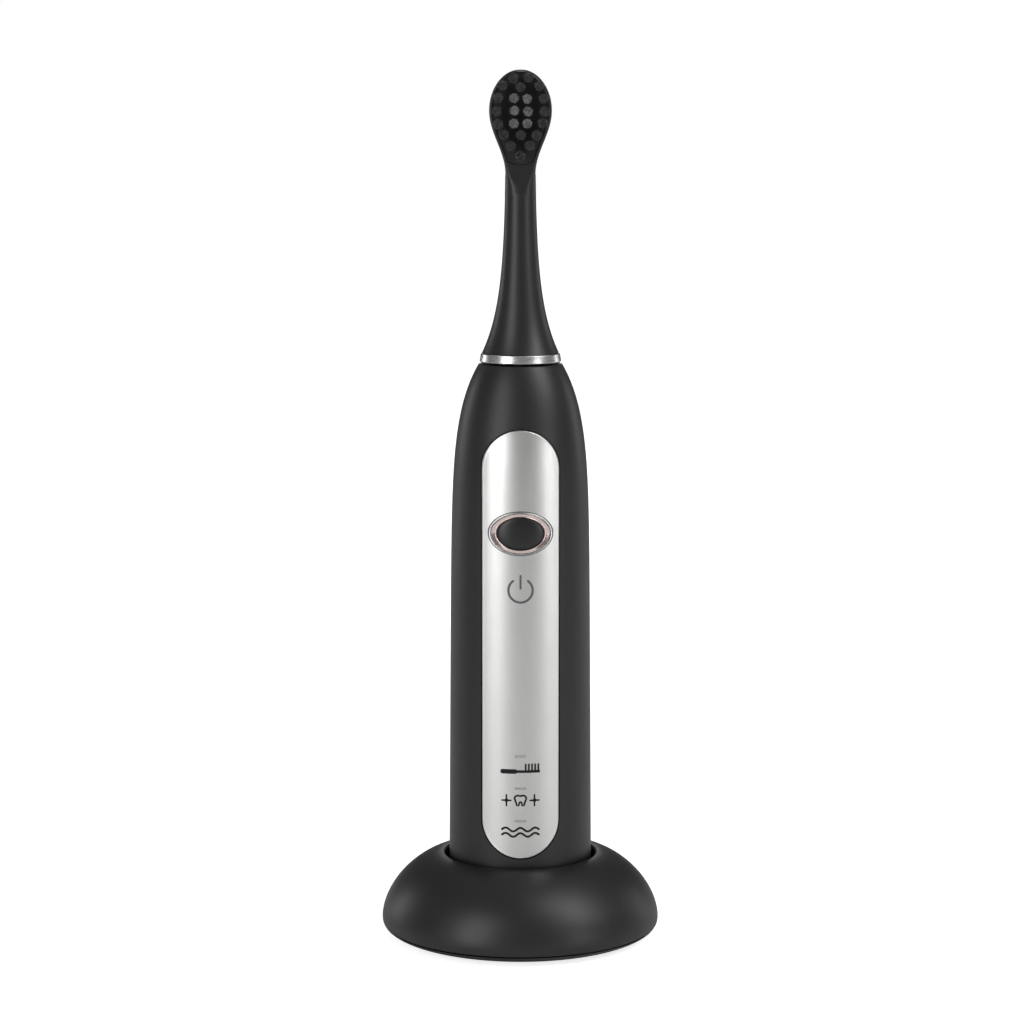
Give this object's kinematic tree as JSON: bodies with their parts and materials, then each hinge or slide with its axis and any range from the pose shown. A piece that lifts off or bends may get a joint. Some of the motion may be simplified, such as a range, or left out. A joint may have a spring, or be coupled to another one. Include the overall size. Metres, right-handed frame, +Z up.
{
  "type": "electric toothbrush on charger",
  "caption": "Sonic toothbrush with a slim tapering handle, oval power button, bright control plate and oval brush head, standing in a round domed charging base.",
  "frame": {"origin": "centre of the charging base, on the table under the rubber feet", "axes": "+Z up along the handle; the control plate, the button and the bristles face -Y; the cord leaves towards +Y"},
  "size_m": [0.0644, 0.0644, 0.1998],
  "materials": {
    "soft_black": "soft-touch satin",
    "base_black": "satin, fine moulded grain",
    "head_black": "satin",
    "rubber_black": "matt",
    "brushed_silver": "vertical brushing, satin",
    "rose_chrome": "polished, rose tint",
    "ring_chrome": "polished",
    "button_black": "smooth satin",
    "symbol_grey": "satin",
    "light_lens": "translucent, unlit",
    "led_white": "gloss",
    "screw_steel": "zinc plated",
    "copper_wire": "enamelled copper",
    "ferrite": "sintered, matt",
    "board_green": "solder mask",
    "chip_black": "moulded epoxy",
    "carrier_white": "natural nylon",
    "cell_wrap": "heat-shrink wrap",
    "motor_steel": "turned",
    "magnet": "nickel plated",
    "bronze": "sintered, oil filled",
    "seal_red": "silicone",
    "bristle_grey": "nylon filament",
    "bristle_black": "nylon filament"
  },
  "bodies": {
    "charger": {"base_cover": "base_black", "base_skirt": "base_black", "well_sleeve": "base_black", "charging_post": "base_black", "base_plate": "base_black", "rubber_feet": "rubber_black", "base_screws": "screw_steel", "cord_gland": "rubber_black", "coil_bobbin": "carrier_white", "primary_coil": "copper_wire", "ferrite_core": "ferrite", "charger_board": "board_green", "charger_components": "chip_black"},
    "handle": {"handle_shell": "soft_black", "bottom_cap": "soft_black", "charging_socket": "soft_black", "cap_seal": "seal_red", "receiver_coil": "copper_wire", "chassis": "carrier_white", "battery_cell": "cell_wrap", "battery_tabs": "screw_steel", "circuit_board": "board_green", "board_chips": "chip_black", "board_screws": "screw_steel", "face_plate": "brushed_silver", "power_symbol": "symbol_grey", "mode_leds": "led_white", "mode_light_pipes": "light_lens", "button_bezel": "rose_chrome", "button_seal": "rubber_black", "switch_body": "carrier_white", "motor_can": "motor_steel", "stator_core": "motor_steel", "stator_coils": "copper_wire", "motor_bearings": "bronze", "nose_bushing": "bronze", "shaft_seal": "rubber_black"},
    "button": {"power_button": "button_black", "switch_plunger": "seal_red"},
    "drive": {"drive_shaft": "motor_steel", "rotor_hub": "motor_steel", "rotor_magnets": "magnet"},
    "brush_head": {"head_stem": "head_black", "trim_ring": "ring_chrome", "coupling_insert": "carrier_white", "retaining_clip": "screw_steel", "centre_tufts": "bristle_grey", "side_tufts": "bristle_black", "end_tufts": "bristle_black"}
  },
  "joints": [
    {"name": "handle_lift", "type": "slide", "parent": "charger", "child": "handle", "axis": [0, 0, 1], "range_m": [0, 0.06]},
    {"name": "button_press", "type": "slide", "parent": "handle", "child": "button", "axis": [0, 1, 0], "range_m": [0, 0.0008], "stiffness_N_per_m": 1500, "springref_m": -0.0005},
    {"name": "head_sweep", "type": "hinge", "parent": "handle", "child": "drive", "pos_m": [0, 0, 0.1], "axis": [0, 0, 1], "range_deg": [-6, 6], "stiffness_Nm_per_rad": 0.02},
    {"name": "head_pull_off", "type": "slide", "parent": "drive", "child": "brush_head", "axis": [0, 0, 1], "range_m": [0, 0.03]}
  ]
}
